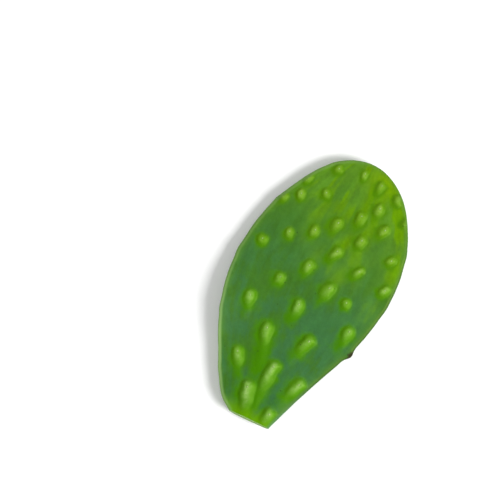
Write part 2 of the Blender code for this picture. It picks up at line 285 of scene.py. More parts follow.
# The flow: a plan straightened so that its lines follow the pad's sides
FLOW_HEIGHTS = (-20.0, 200.0, 4.0)  # from, to and step
FLOW_WIDTH = 50.0  # every half-width is stretched to this
FLOW_SQUASH = 0.28  # along the pad, so that what reads it is drawn out
FLOW_BACK = 300.0  # sets the back's pattern apart from the front's


# ------------------------------------------------------------------------------------- the outline


def closed_spline(knots):
    """A closed Catmull-Rom curve through the knots, as many short chords."""
    knots = np.array(knots, float)
    t = np.linspace(0.0, 1.0, SPLINE_STEPS, endpoint=False)[:, None]
    spans = []
    for i in range(len(knots)):
        before, start, end, after = (knots[(i + k) % len(knots)] for k in (-1, 0, 1, 2))
        spans.append(
            0.5
            * (
                2.0 * start
                + (end - before) * t
                + (2.0 * before - 5.0 * start + 4.0 * end - after) * t**2
                + (3.0 * start - before - 3.0 * end + after) * t**3
            )
        )
    return np.concatenate(spans)


def evenly_spaced(loop, count):
    """The same closed line with points at equal distances along it."""
    closed = np.vstack([loop, loop[:1]])
    along = np.concatenate([[0.0], np.cumsum(np.linalg.norm(np.diff(closed, axis=0), axis=1))])
    wanted = np.linspace(0.0, along[-1], count, endpoint=False)
    return np.stack([np.interp(wanted, along, closed[:, k]) for k in (0, 1)], axis=1)


def outward_normals(loop):
    """Unit normals of an anticlockwise closed line."""
    along = np.roll(loop, -1, axis=0) - np.roll(loop, 1, axis=0)
    normals = np.stack([along[:, 1], -along[:, 0]], axis=1)
    return normals / np.linalg.norm(normals, axis=1)[:, None]


def noise_at(points, size, offset):
    """Smooth noise between -1 and 1, with lumps of about this size in millimetres."""
    shift = Vector((offset, -offset, 0.5 * offset))
    return np.array([noise.noise(Vector(p) / size + shift) for p in points])


def at_height(points, z):
    """Points of the plan as points in space."""
    return np.column_stack([points, np.full(len(points), z)])


def outline(count):
    """The pad's outline, a little uneven, with a low swelling at each areole on the rim."""
    loop = evenly_spaced(closed_spline(OUTLINE), count)
    swelling = np.zeros(count)
    for side, height, rise, spread in RIM_AREOLES:
        place = rim_place(loop, side, height)
        away = np.linalg.norm(loop - place, axis=1)
        swelling += rise * np.exp(-((away / spread) ** 2))
    swelling += RIM_WAVE * noise_at(at_height(loop, 0.0), RIM_WAVE_SIZE, RIM_OFFSET)
    return loop + outward_normals(loop) * swelling[:, None]


def rim_place(loop, side, height):
    """The outline's point at this height on the right (1) or the left (-1)."""
    own_side = loop[loop[:, 0] * side > 0.0]
    return own_side[np.abs(own_side[:, 1] - height).argmin()]


def span_at(loop, y):
    """The outline's middle and half-width at a height."""
    near = loop[np.abs(loop[:, 1] - y) < SPAN_BAND, 0]
    return (near.max() + near.min()) / 2.0, (near.max() - near.min()) / 2.0


def edge_distance(points, loop):
    """How far each point is from the outline."""
    start = loop[None]
    chord = np.roll(loop, -1, axis=0)[None] - start
    length = (chord**2).sum(axis=2)
    found = []
    for first in range(0, len(points), DISTANCE_CHUNK):
        offset = points[first : first + DISTANCE_CHUNK, None] - start
        share = np.clip((offset * chord).sum(axis=2) / length, 0.0, 1.0)
        found.append(np.linalg.norm(offset - share[..., None] * chord, axis=2).min(axis=1))
    return np.concatenate(found)


def inside(points, loop):
    """Which points lie within the closed line, by the even-odd rule."""
    x0, y0 = loop.T
    x1, y1 = np.roll(loop, -1, axis=0).T
    rise = np.where(y1 == y0, 1.0, y1 - y0)
    found = []
    for first in range(0, len(points), DISTANCE_CHUNK):
        x, y = points[first : first + DISTANCE_CHUNK].T[..., None]
        crossing = x0 + (y - y0) * (x1 - x0) / rise
        found.append((((y0 > y) != (y1 > y)) & (x < crossing)).sum(axis=1) % 2 == 1)
    return np.concatenate(found)


# ------------------------------------------------------------------------------------- the surface


def smooth_step(value):
    """0 up to 0, 1 from 1, and smooth between."""
    value = np.clip(value, 0.0, 1.0)
    return value * value * (3.0 - 2.0 * value)


def middle_height(x, y):
    """The sheet halfway between the two faces."""
    bow = BOW_RISE * ((y - BOW_CENTRE) / BOW_SPAN) ** 2
    dish = DISH_RISE * ((x - DISH_CENTRE) / DISH_SPAN) ** 2
    beyond = np.clip(CURL_FROM - x, 0.0, None) / CURL_SPAN
    curl = CURL_RISE * beyond**2 * np.exp(-(((y - CURL_HEIGHT) / CURL_SPREAD) ** 2))
    return bow + dish + curl


def half_thickness(y, edge):
    """Half of the pad's thickness, from the distance to its edge."""
    turned = 1.0 - np.clip(edge / RIM_ROUND, 0.0, 1.0)
    rounding = (1.0 - turned**RIM_SQUARENESS) ** (1.0 / RIM_SQUARENESS)
    full = BASE_HALF + (TIP_HALF - BASE_HALF) * np.clip(y / LENGTH, 0.0, 1.0)
    crown = 1.0 - (1.0 - np.clip(edge / CROWN_REACH, 0.0, 1.0)) ** 2
    return RIM_HALF * rounding + (full - RIM_HALF) * crown


def midline_share(x, y):
    """1 on the pad's middle line, dying away to either side."""
    return np.exp(-(((x - MIDLINE_START - MIDLINE_SLOPE * y) / MIDLINE_SPREAD) ** 2))


def growth_direction(x, y, extra_turn):
    """The way a bump points: it fans out from the neck, and leans right further up."""
    fan = math.atan2(x, y + FAN_DEPTH)
    lean = math.radians(LEAN + LEAN_GAIN * x)
    near_neck = math.exp(-((y / FAN_REACH) ** 2))
    turn = near_neck * fan + (1.0 - near_neck) * lean + extra_turn
    return np.array([math.sin(turn), math.cos(turn)])


def strip_share(along, entry, fade):
    """A strip that comes in at its start and fades towards its end, where along is 1."""
    steepness, start = entry
    return smooth_step(along * steepness + start) * smooth_step((1.0 - along) * fade)


class Bump:
    """One raised bump with its areole on top and a tail running towards the base."""

    def __init__(self, x, y, factor, turn, length, paleness):
        near_middle = midline_share(x, y)
        drawn_out = math.exp(-(((y - TAIL_HEIGHT) / TAIL_SPREAD) ** 2))
        stretch = 1.0 + MIDLINE_STRETCH * near_middle + BASE_STRETCH * drawn_out
        self.place = np.array([x, y])
        self.forward = growth_direction(x, y, turn)
        self.side = np.array([self.forward[1], -self.forward[0]])
        self.factor = factor
        self.half_width = BUMP_HALF_WIDTH * factor
        self.tipward = BUMP_TIPWARD * factor
        self.baseward = BUMP_BASEWARD * factor * stretch * length
        self.rise = BUMP_RISE * factor**RISE_POWER
        self.tail = (TAIL_LEAST + (TAIL_LENGTH - TAIL_LEAST) * drawn_out) * factor
        self.set_tints(near_middle, drawn_out, paleness)

    def set_tints(self, near_middle, drawn_out, paleness):
        """How pale its crest is, a paler top with a painted highlight, and how boldly its tail and
        its lead show.
        """
        x, y = self.place
        on_stem = math.exp(-(((x - STEM_X) / STEM_SPREAD) ** 2)) * drawn_out
        on_right = smooth_step((x - FLANK_FROM) / FLANK_RISE)
        on_flank = on_right * math.exp(-(((y - FLANK_HEIGHT) / FLANK_SPREAD) ** 2))
        kinds = (drawn_out * PLAIN_TAIL, near_middle, on_stem * STEM_TAIL, on_flank * FLANK_TAIL)
        self.boldness = TAIL_TINT_LEAST + (1.0 - TAIL_TINT_LEAST) * min(max(kinds), 1.0)
        near_base = math.exp(-((y / PALE_HEIGHT) ** 4))
        near_base *= PALE_LEAST + (1.0 - PALE_LEAST) * max(near_middle, on_stem)
        self.paleness = paleness + (1.0 - paleness) * near_base
        self.lead = near_middle * smooth_step((y - LEAD_FROM) / LEAD_RISE)
        self.link = max(LINK_SHARE * self.lead, on_stem, LINK_SHARE * on_flank)
        self.tail_fade = TAIL_TINT_FADE + on_stem
        self.spread = 1.0 + STEM_WIDENING * on_stem

    def local(self, points):
        """Each point's place ahead of and beside the areole, and its shares of the bump's reach."""
        offset = points - self.place
        ahead, aside = offset @ self.forward, offset @ self.side
        reach = np.where(ahead > 0.0, self.tipward, self.baseward)
        return ahead, aside, reach, (aside / self.half_width) ** 2

    def height(self, points):
        """The mound, the ridge along its tail and the pit of the areole."""
        ahead, aside, reach, across = self.local(points)
        away = np.abs(ahead / reach) ** BUMP_BLUNTNESS + across
        mound = np.clip(1.0 - away**BUMP_FULLNESS, 0.0, 1.0) ** BUMP_SOFTNESS
        half_tail = (self.tail + self.baseward) / 2.0
        ridge = 1.0 - ((ahead + half_tail) / half_tail) ** 2 - across
        ridge = np.clip(ridge, 0.0, 1.0) ** 2
        pit = np.exp(-((ahead**2 + aside**2) / PIT_RADIUS**2) ** 2)
        return self.rise * (mound + TAIL_SHARE * ridge * (1.0 - mound)) - PIT_DEPTH * pit

    def tints(self, points):
        """How strongly the bump's crest (a paler top with a painted highlight), its shoulders, its
        halo, its areole and its lead show.
        """
        ahead, aside, reach, across = self.local(points)
        along = (ahead / reach) ** 2
        crest = np.exp(-(along / CREST_LENGTH**2) ** CREST_EDGE - across / CREST_WIDTH**2)
        shoulder = np.exp(-(((along + across) / SHOULDER_REACH**2) ** SHOULDER_EDGE))
        behind = ((ahead + HALO_SHIFT * self.half_width) / reach) ** 2
        halo = np.exp(-(((behind + across) / (HALO_REACH * self.spread) ** 2) ** HALO_EDGE))
        spot = np.exp(-(((ahead**2 + aside**2) / SPOT_RADIUS**2) ** 2))
        length = self.tail * TAIL_TINT_REACH + self.baseward + LINK_REACH * self.link
        strip = strip_share(ahead / -length, TAIL_TINT_ENTRY, self.tail_fade)
        tail = strip * np.exp(-across / (TAIL_TINT_WIDTH * self.spread) ** 2) * self.boldness
        strip = strip_share(ahead / (LEAD_REACH * self.factor), LEAD_ENTRY, LEAD_FADE)
        lead = strip * np.exp(-across / LEAD_WIDTH**2) * self.lead
        return crest * self.paleness, shoulder, np.maximum(halo * HALO_STRENGTH, tail), spot, lead


def size_factor(x, y):
    """Bumps grow smaller towards the tip, and larger near the pad's middle line."""
    taper = BASE_FACTOR + (TIP_FACTOR - BASE_FACTOR) * y / LENGTH
    return taper * (1.0 + MIDLINE_GAIN * midline_share(x, y))


def arc_through(start, middle, end, share):
    """A point on the parabola that passes the three places at shares 0, 1/2 and 1."""
    start, middle, end = (np.array(p) for p in (start, middle, end))
    return (
        start * (1.0 - share) * (1.0 - 2.0 * share)
        + middle * 4.0 * share * (1.0 - share)
        + end * share * (2.0 * share - 1.0)
    )


def bumps_of(face, loop):
    """The bumps of the front (1) or the back (-1), which has the same rows turned over."""
    draw = random.Random(FRONT_SEED if face > 0 else BACK_SEED)
    shape_draw = random.Random(SHAPE_SEED)
    tint_draw = random.Random(TINT_SEED)
    found = []
    for start, middle, end, count in ROWS:
        for k in range(count):
            x, y = arc_through(start, middle, end, k / (count - 1))
            x += draw.uniform(-ROW_JITTER, ROW_JITTER)
            y += draw.uniform(-ROW_JITTER, ROW_JITTER)
            if face < 0:
                centre, _ = span_at(loop, y)
                x, y = 2.0 * centre - x, y + BACK_SHIFT
            factor = size_factor(x, y) * (1.0 + draw.uniform(-SIZE_SPREAD, SIZE_SPREAD))
            turn = shape_draw.uniform(-TURN_SPREAD, TURN_SPREAD)
            length = 1.0 + shape_draw.uniform(-LENGTH_SPREAD, LENGTH_SPREAD)
            paleness = tint_draw.uniform(*PALENESS)
            found.append(Bump(x, y, factor, turn, length, paleness))
    return found


def warped(points):
    """The plan pushed about a little, so that no two bumps have quite the same outline."""
    push = [noise_at(at_height(points, 0.0), WARP_SIZE, offset) for offset in WARP_OFFSETS]
    return points + WARP_REACH * np.stack(push, axis=1)


def face_height(points, face, bumps, loop):
    """z of the front or back face over each point of the plan."""
    x, y = points.T
    edge = edge_distance(points, loop)
    irregular = warped(points)
    relief = sum(bump.height(irregular) for bump in bumps) * smooth_step(edge / RIM_FADE)
    swell = noise_at(at_height(points, face * FACES_APART), SWELL_SIZE, SWELL_OFFSET)
    relief += SWELL_RISE * swell * smooth_step(edge / CROWN_REACH * SWELL_ONSET)
    return middle_height(x, y) + face * (half_thickness(y, edge) + relief)


# ---------------------------------------------------------------------------------------- the mesh


def triangular_grid(low, high, step):
    """The corners of equilateral triangles that cover a rectangle."""
    grid = []
    for row, y in enumerate(np.arange(low[1], high[1], step * math.sqrt(0.75))):
        x = np.arange(low[0], high[0], step) + step / 2.0 * (row % 2)
        grid.append(np.column_stack([x, np.full(len(x), y)]))
    return np.concatenate(grid)


def fill_inside(border, step):
    """Points over the inside of a closed line, and the triangles that join them to it."""
    grid = triangular_grid(border.min(axis=0), border.max(axis=0), step)
    grid = grid[inside(grid, border)]
    grid = grid[edge_distance(grid, border) > step * FILL_CLEARANCE]
    everything = [Vector(p) for p in border] + [Vector(p) for p in grid]
    edges = [(k, (k + 1) % len(border)) for k in range(len(border))]
    made = delaunay_2d_cdt(everything, edges, [], 1, MERGE_DISTANCE)
    if len(made[0]) != len(everything):
        raise ValueError("two points of the plan fell together")
    points = np.array([tuple(v) for v in made[0]])
    return points, np.array(made[2]), np.array([origin[0] for origin in made[3]])


def add_face(mesh, face, bumps, loop, rings, equator, fill):
    """Adds one face of the pad, from the shared rim line inwards."""
    lines = [equator]
    for ring in rings[1:]:
        z = face_height(ring, face, bumps, loop)
        lines.append([mesh.verts.new((*p, h)) for p, h in zip(ring, z)])
    for outer, inner in zip(lines, lines[1:]):
        for k in range(len(outer)):
            after = (k + 1) % len(outer)
            quad = (outer[k], outer[after], inner[after], inner[k])
            mesh.faces.new(quad if face > 0 else quad[::-1])
    points, triangles, origins = fill
    z = face_height(points, face, bumps, loop)
    count = len(rings[-1])
    verts = [
        lines[-1][source] if source < count else mesh.verts.new((*point, height))
        for source, point, height in zip(origins, points, z)
    ]
    for a, b, c in triangles:
        mesh.faces.new((verts[a], verts[b], verts[c]) if face > 0 else (verts[c], verts[b], verts[a]))


def ordered_boundary(mesh):
    """The open rim of the cut, as vertices in order."""
    links = {}
    for edge in mesh.edges:
        if edge.is_boundary:
            for vert in edge.verts:
                links.setdefault(vert, []).append(edge.other_vert(vert))
    first = next(iter(links))
    order, before, here = [first], None, first
    while True:
        after = next(v for v in links[here] if v is not before)
        if after is first:
            return order
        order.append(after)
        before, here = here, after


def cut_at_neck(mesh):
    """Cuts the neck off with one stroke of a knife, and fills the cut."""
    normal = Vector((0.0, -math.cos(KNIFE_SLANT), math.sin(KNIFE_SLANT)))
    up = Vector((0.0, math.sin(KNIFE_SLANT), math.cos(KNIFE_SLANT)))
    centre = Vector((0.0, 0.0, float(middle_height(0.0, 0.0))))
    for vert in mesh.verts:
        off = (vert.co - centre).dot(normal)
        if abs(off) < CUT_SNAP:
            vert.co -= normal * off
    bmesh.ops.bisect_plane(
        mesh,
        geom=mesh.verts[:] + mesh.edges[:] + mesh.faces[:],
        dist=CUT_ACCURACY,
        plane_co=centre,
        plane_no=normal,
        clear_outer=True,
    )
    fill_cut(mesh, centre, normal, up)


def fill_cut(mesh, centre, normal, up):
    """Closes the cut with flesh that is sunk a little, and keeps how deep in it each point is."""
    flesh = mesh.verts.layers.float.new("flesh_depth")
    rim = ordered_boundary(mesh)
    border = np.array([(v.co.x, (v.co - centre).dot(up)) for v in rim])
    after = np.roll(border, -1, axis=0)
    if (border[:, 0] * after[:, 1] - after[:, 0] * border[:, 1]).sum() < 0:
        rim.reverse()
        border = border[::-1]
    points, triangles, origins = fill_inside(border, CUT_STEP)
    depth = edge_distance(points, border)
    lumps = noise_at(at_height(points, 0.0), FLESH_LUMP, FLESH_OFFSET)
    sunk = FLESH_SINK * smooth_step(depth / FLESH_EDGE) + FLESH_RELIEF * lumps * smooth_step(depth)
    verts = []
    for source, (x, t), sink, deep in zip(origins, points, sunk, depth):
        if source < len(rim):
            verts.append(rim[source])
            continue
        vert = mesh.verts.new(centre + Vector((x, 0.0, 0.0)) + up * t - normal * sink)
        vert[flesh] = deep
        verts.append(vert)
    for a, b, c in triangles:
        made = mesh.faces.new((verts[a], verts[b], verts[c]))
        made.material_index = 1


def build_skin(loop, bumps):
    """The whole pad as one closed mesh, in the plan's millimetres."""
    normals = outward_normals(loop)
    rings = [loop - normals * RIM_ROUND * step for step in RIM_STEPS]
    fill = fill_inside(rings[-1], FILL_STEP)
    mesh = bmesh.new()
    middle = middle_height(loop[:, 0], loop[:, 1])
    equator = [mesh.verts.new((*p, h)) for p, h in zip(loop, middle)]
    for face in (1, -1):
        add_face(mesh, face, bumps[face], loop, rings, equator, fill)
    cut_at_neck(mesh)
    return mesh


def shift_to_frame(points):
    """The move from the plan to the frame: the skin's box is centred on the solid's, tops level."""
    low, high = (np.array(corner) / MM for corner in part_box("pad"))
    centre = (points.min(axis=0) + points.max(axis=0)) / 2.0
    wanted = (low + high) / 2.0
    return np.array([wanted[0] - centre[0], wanted[1] - centre[1], high[2] - points[:, 2].max()])


# ------------------------------------------------------------------ what the skin's material reads


def store(data, name, values):
    """Keeps a number for each point of the mesh."""
    data.attributes.new(name, "FLOAT", "POINT").data.foreach_set("value", values.astype(np.float32))


def store_vector(data, name, values):
    """Keeps three numbers for each point of the mesh."""
    attribute = data.attributes.new(name, "FLOAT_VECTOR", "POINT")
    attribute.data.foreach_set("vector", values.astype(np.float32).ravel())


def patch(x, y, centre, spread):
    """1 at the centre, dying away to all sides."""
    return np.exp(-(((x - centre[0]) / spread[0]) ** 2) - ((y - centre[1]) / spread[1]) ** 2)


def store_bump_tints(data, points, front, edge, bumps):
    """Near which bump each point is, and where on it."""
    tints = np.zeros((5, len(points)))
    irregular = warped(points)
    for face, on_face in ((1, front), (-1, ~front)):
        for bump in bumps[face]:
            found = bump.tints(irregular[on_face])
            tints[:, on_face] = np.maximum(tints[:, on_face], found)
    fade = smooth_step(edge / RIM_FADE)
    for name, tint in zip(("crest", "shoulder", "halo", "spot", "lead"), tints):
        store(data, name, tint * fade)


def store_rim_tints(data, x, y, front, edge):
    """How near the rim each point is, and on which part of it, for the painted highlight, the painted
    shade and the painted reflection on it.
    """
    # Painted highlight: the rim is painted pale, a little all round and most on the lower left
    left = smooth_step((SIDE_OVERLAP - x) / SIDE_FADE)
    least, leftward, lowest = PALE_RIM_SHARES
    lower = np.exp(-(((y - PALE_RIM_HEIGHT) / PALE_RIM_SPREAD) ** 2))
    lit = least + left * (leftward + lowest * lower)
    start, fade = PALE_RIM
    store(data, "rim", (1.0 - smooth_step((edge - start) / fade)) * lit)
    # Painted shade: the right rim is painted dark, less so at the tip
    right = smooth_step((x + SIDE_OVERLAP) / SIDE_FADE)
    below_tip = smooth_step((DARK_RIM_TOP - y) / DARK_RIM_FADE)
    right *= DARK_RIM_LEAST + (1.0 - DARK_RIM_LEAST) * below_tip
    start, fade = DARK_RIM
    store(data, "shaded_rim", (1.0 - smooth_step((edge - start) / fade)) * right)
    # Painted reflection: a bluish line on the front's right edge near the cut
    near_cut = front * (x > 0.0) * np.exp(-((y / REFLECTION_HEIGHT) ** 2))
    store(data, "edge_reflection", np.exp(-((edge / REFLECTION_WIDTH) ** 2)) * near_cut)
    store(data, "margin", np.exp(-((edge / MARGIN_WIDTH) ** 2)))


def store_flow(data, x, y, front, loop):
    """The plan straightened, for streaks that follow the pad's sides."""
    heights = np.arange(*FLOW_HEIGHTS)
    spans = np.array([span_at(loop, h)[1] for h in heights])
    flow = x / np.interp(y, heights, spans) * FLOW_WIDTH
    face = np.where(front, 0.0, FLOW_BACK)
    store_vector(data, "flow", np.column_stack([flow, y * FLOW_SQUASH, face]))


def store_scar(data, plan, loop):
    """1 in the middle of the corky scar, 0 where its brown has died away."""
    side, height, _, _ = RIM_AREOLES[0]
    scar = rim_place(loop, side, height)
    offset = plan - np.append(scar, middle_height(*scar))
    away = np.linalg.norm(offset * np.array([1.0, 1.0, SCAR_SQUASH]), axis=1)
    store(data, "scar", 1.0 - away / SCAR_REACH)


def store_tints(data, plan, loop, bumps):
    """Stores what the skin's material reads: where each point is on the pad."""
    points, x, y = plan[:, :2], plan[:, 0], plan[:, 1]
    edge = edge_distance(points, loop)
    front = plan[:, 2] >= middle_height(x, y)
    store_bump_tints(data, points, front, edge, bumps)
    store_rim_tints(data, x, y, front, edge)
    # Painted shade: where the skin is darkened as if in a hollow above the neck
    store(data, "hollow", patch(x, y, *HOLLOW))
    store(data, "sunned", front * patch(x, y, *SUNNED))
    store(data, "up", y / LENGTH)
    store(data, "across", x / ACROSS_UNIT)
    store_scar(data, plan, loop)
    store_flow(data, x, y, front, loop)


# -------------------------------------------------------------------------------------- the pieces


def add_piece(name, mesh):
    """Turns a bmesh into an object of the scene."""
    data = bpy.data.meshes.new(name)
    mesh.to_mesh(data)
    mesh.free()
    data.shade_smooth()
    piece = bpy.data.objects.new(name, data)
    bpy.context.scene.collection.objects.link(piece)
    return piece


def build_pad(loop, bumps):
    """The pad's skin and cut face in their place, and the move that brought them there."""
    mesh = build_skin(loop, bumps)
    plan = np.array([vert.co for vert in mesh.verts])
    shift = shift_to_frame(plan)
    placed = plan + shift
    placed[:, 2] = np.maximum(placed[:, 2], 0.0)
    for vert, place in zip(mesh.verts, placed * MM):
        vert.co = place
    pad = add_piece("pad_body", mesh)
    store_tints(pad.data, plan, loop, bumps)
    pad.data.set_sharp_from_angle(angle=SHARP_ANGLE)
    return pad, shift


def build_areoles(loop, bumps, shift):
    """A small oval cushion of felt in the dimple on top of each bump."""
    mesh = bmesh.new()
    for face in (1, -1):
        for bump in bumps[face]:
            add_cushion(mesh, face, bump, bumps[face], loop, shift)
    return add_piece("areole_cushions", mesh)


def cushion_plan(bump, size):
    """The top of a cushion and its oval rings in the plan, and the share of its height at each."""
    plan, lift = [bump.place], [1.0]
    for share, rise in AREOLE_RINGS:
        for k in range(AREOLE_SIDES):
            turn = 2.0 * math.pi * k / AREOLE_SIDES
            ahead = share * size * AREOLE_STRETCH * math.cos(turn)
            aside = share * size * math.sin(turn)
            plan.append(bump.place + ahead * bump.forward + aside * bump.side)
            lift.append(rise)
    return np.array(plan), np.array(lift)


def add_cushion(mesh, face, bump, neighbours, loop, shift):
    """One cushion, unless it is at the very rim or where the pad rests on it."""
    from_rim = edge_distance(bump.place[None], loop)[0] / RIM_FADE
    size = AREOLE_RADIUS * bump.factor * smooth_step(from_rim - AREOLE_RIM_GAP)
    if size < AREOLE_LEAST:
        return
    plan, lift = cushion_plan(bump, size)
    z = face_height(plan, face, neighbours, loop)
    z += face * (lift * AREOLE_HEIGHT * bump.factor - AREOLE_SUNK)
    placed = np.column_stack([plan, z]) + shift
    if placed[:, 2].min() < 0.0:
        return
    verts = [mesh.verts.new(p * MM) for p in placed]
    top = verts[0]
    lines = [verts[1 + k * AREOLE_SIDES :][:AREOLE_SIDES] for k in range(len(AREOLE_RINGS))]
    faces = []
    for k in range(AREOLE_SIDES):
        after = (k + 1) % AREOLE_SIDES
        for outer, inner in zip(lines, lines[1:]):
            faces.append((outer[k], outer[after], inner[after], inner[k]))
        faces.append((lines[-1][k], lines[-1][after], top))
    for corners in faces:
        mesh.faces.new(corners[::-1] if face > 0 else corners)


# --------------------------------------------------------------------------------------- materials


class Nodes:
    """Short ways to add shader nodes and join them."""

    def __init__(self, name):
        self.material = bpy.data.materials.new(name)
        self.material.use_nodes = True
        self.tree = self.material.node_tree
        self.shader = self.tree.nodes["Principled BSDF"]

    def join(self, source, target):
        """Links an output to an input, or sets the input to a number or colour."""
        if hasattr(source, "is_output"):
            self.tree.links.new(source, target)
        else:
            target.default_value = source

    def field(self, name, output="Fac"):
        """What the mesh stores under this name."""
        node = self.tree.nodes.new("ShaderNodeAttribute")
        node.attribute_name = name
        return node.outputs[output]

    def math(self, kind, a, b, c=0.0):
        node = self.tree.nodes.new("ShaderNodeMath")
        node.operation = kind
        for socket, value in zip(node.inputs, (a, b, c)):
            self.join(value, socket)
        return node.outputs[0]

    def times(self, a, b):
        return self.math("MULTIPLY", a, b)

    def vary(self, base, source, amount):
        """The base, moved up and down by a noise's swing about its middle."""
        return self.math("MULTIPLY_ADD", self.math("SUBTRACT", source, 0.5), amount, base)

    def paint(self, colour, mask, tint, share):
        """Covers the colour where the mask is 1, with this share of the tint."""
        return self.mix(self.times(mask, share), colour, tint)

    def mix(self, share, a, b, blend="MIX"):
        node = self.tree.nodes.new("ShaderNodeMix")
        node.data_type = "RGBA"
        node.blend_type = blend
        for socket, value in zip((node.inputs[0], node.inputs[6], node.inputs[7]), (share, a, b)):
            self.join(value, socket)
        return node.outputs[2]

    def noise(self, place, scale, detail, roughness):
        node = self.tree.nodes.new("ShaderNodeTexNoise")
        self.join(place, node.inputs["Vector"])
        node.inputs["Scale"].default_value = scale
        node.inputs["Detail"].default_value = detail
        node.inputs["Roughness"].default_value = roughness
        return node.outputs["Fac"]

    def dots(self, place, count, outer, inner):
        """Scattered dots: 0 beyond their outer radius, 1 within the inner."""
        node = self.tree.nodes.new("ShaderNodeTexVoronoi")
        self.join(place, node.inputs["Vector"])
        node.inputs["Scale"].default_value = count
        return self.band(node.outputs["Distance"], outer, inner)

    def band(self, value, low, high, to_low=0.0, to_high=1.0):
        """Smoothly maps low..high to to_low..to_high."""
        node = self.tree.nodes.new("ShaderNodeMapRange")
        node.interpolation_type = "SMOOTHSTEP"
        self.join(value, node.inputs["Value"])
        for socket, number in zip(list(node.inputs)[1:5], (low, high, to_low, to_high)):
            socket.default_value = number
        return node.outputs["Result"]

    def bump(self, height, strength, distance, under=None):
        node = self.tree.nodes.new("ShaderNodeBump")
        node.inputs["Strength"].default_value = strength
        node.inputs["Distance"].default_value = distance
        self.join(height, node.inputs["Height"])
        if under is not None:
            self.join(under, node.inputs["Normal"])
        return node.outputs["Normal"]

    def place(self):
        return self.tree.nodes.new("ShaderNodeTexCoord").outputs["Object"]

    def set_shader(self, settings):
        """Sets the shader's own sockets."""
        for name, value in settings.items():
            self.shader.inputs[name].default_value = value


DEEP_GREEN = (0.040, 0.138, 0.014, 1.0)
BLUE_GREEN = (0.032, 0.121, 0.036, 1.0)
TIP_GREEN = (0.082, 0.208, 0.012, 1.0)
LIME_GREEN = (0.095, 0.228, 0.0, 1.0)
SUN_LIME = (0.128, 0.262, 0.0, 1.0)
HALO_GREEN = (0.041, 0.170, 0.0, 1.0)
HALO_LIME = (0.056, 0.174, 0.0, 1.0)
SHOULDER_GREEN = (0.090, 0.262, 0.0, 1.0)
SHOULDER_LIME = (0.105, 0.245, 0.0, 1.0)
CREST_LIME = (0.245, 0.410, 0.065, 1.0)
CREST_GREEN = (0.245, 0.420, 0.105, 1.0)
NECK_GREEN = (0.098, 0.262, 0.0, 1.0)
# The rim's pale tint with its painted highlight, a painted reflection, and painted shade on the right
# rim and in the hollow above the neck
RIM_GREEN = (0.260, 0.440, 0.140, 1.0)
REFLECTION_BLUE = (0.130, 0.330, 0.170, 1.0)
RIM_SHADE = (0.036, 0.092, 0.010, 1.0)
HOLLOW_SHADE = (0.024, 0.104, 0.030, 1.0)
CORK_BROWN = (0.044, 0.040, 0.018, 1.0)
CORK_DARK = (0.012, 0.012, 0.005, 1.0)
SPECK_DARK = (0.015, 0.035, 0.008, 1.0)
FLECK_PALE = (0.380, 0.520, 0.200, 1.0)

# Noises: scale, detail and roughness. Scales are per metre, and per millimetre for the flow's three
PATCHES = (38.0, 3.0, 0.55)
FINE = (420.0, 3.0, 0.6)
STREAKS = (0.16, 4.0, 0.6)
BANDS = (0.085, 2.0, 0.55)
MOTTLE = (0.2, 3.0, 0.55)
HALO_FRAY = (170.0, 3.0, 0.5)
CREST_BREAKUP = (430.0, 4.0, 0.65)
CORK_GRAIN = (1100.0, 4.0, 0.7)
CORK_CRUST = (700.0, 4.0, 0.7)
WAX = (90.0, 4.0, 0.6)
SKIN_GRAIN = (1500.0, 2.0, 0.5)

# Dots: how many to a metre, then their outer and inner radius as shares of their spacing
FLECKS = (520.0, 0.16, 0.08)
PORES = (1500.0, 0.24, 0.1)
SPECKS = (95.0, 0.06, 0.03)

# Bands: where each starts and is full, then what it goes from and to, unless that is 0 and 1
BLUE_CLOUDS = (0.36, 0.6)
BLUE_HEIGHTS = (0.9, 0.3)
TIP_HEIGHTS = (0.5, 1.05)
VEIN_BANDS = (0.46, 0.6)
VEIN_HEIGHTS = (0.6, 0.95)
EDGING_PATCHES = (0.42, 0.56, 0.0, 0.4)
NECK_HEIGHTS = (0.062, 0.0, 0.0, 0.95)
UPPER_HEIGHTS = (0.4, 0.8)
HALO_BAND = (0.06, 0.72)
CREST_BAND = (0.34, 0.62, 0.5, 1.05)
SCAR_BAND = (0.22, 0.5)
CORK_BAND = (0.35, 0.65)
WAX_ROUGHNESS = (0.3, 0.7, 0.34, 0.5)

# How far the noises move what they vary
BLUE_VARIES = 0.5
TIP_VARIES = (0.45, 0.35)  # by the bands and by the patches
SHADE_VARIES = (0.45, 0.4, 0.45, 0.35)  # by the streaks, the patches, the mottle and the fine noise
HALO_VARIES = 0.8
SCAR_VARIES = 0.55
TIP_LEANS = 0.12  # the lime comes down lower on the right

# How much of each mark's colour shows at most
HOLLOW_SHADE_SHARE = 0.8
SUNNED_SHARE = 0.9
SHOULDER_SHARE = 0.8
FLECK_SHARE = 0.3
SHADED_RIM_SHARE = 0.9
REFLECTION_SHARE = 0.35
PORE_SHARE = 0.08
SPECK_SHARE = 0.6
SPOT_SHARE = 0.15

# Fine relief: strength, and depth in metres
FINE_RELIEF = (0.12, 0.0004)
GRAIN_RELIEF = (0.1, 0.00015)
CRUST_RELIEF = (0.7, 0.0006)
SCAR_ROUGHNESS = 0.85
SKIN_SHADER = {
    "Specular IOR Level": 0.15,
    "Specular Tint": (0.7, 1.0, 0.2, 1.0),
    "Subsurface Weight": 0.12,
    "Subsurface Radius": (0.6, 1.0, 0.25),
    "Subsurface Scale": 0.0015,
}


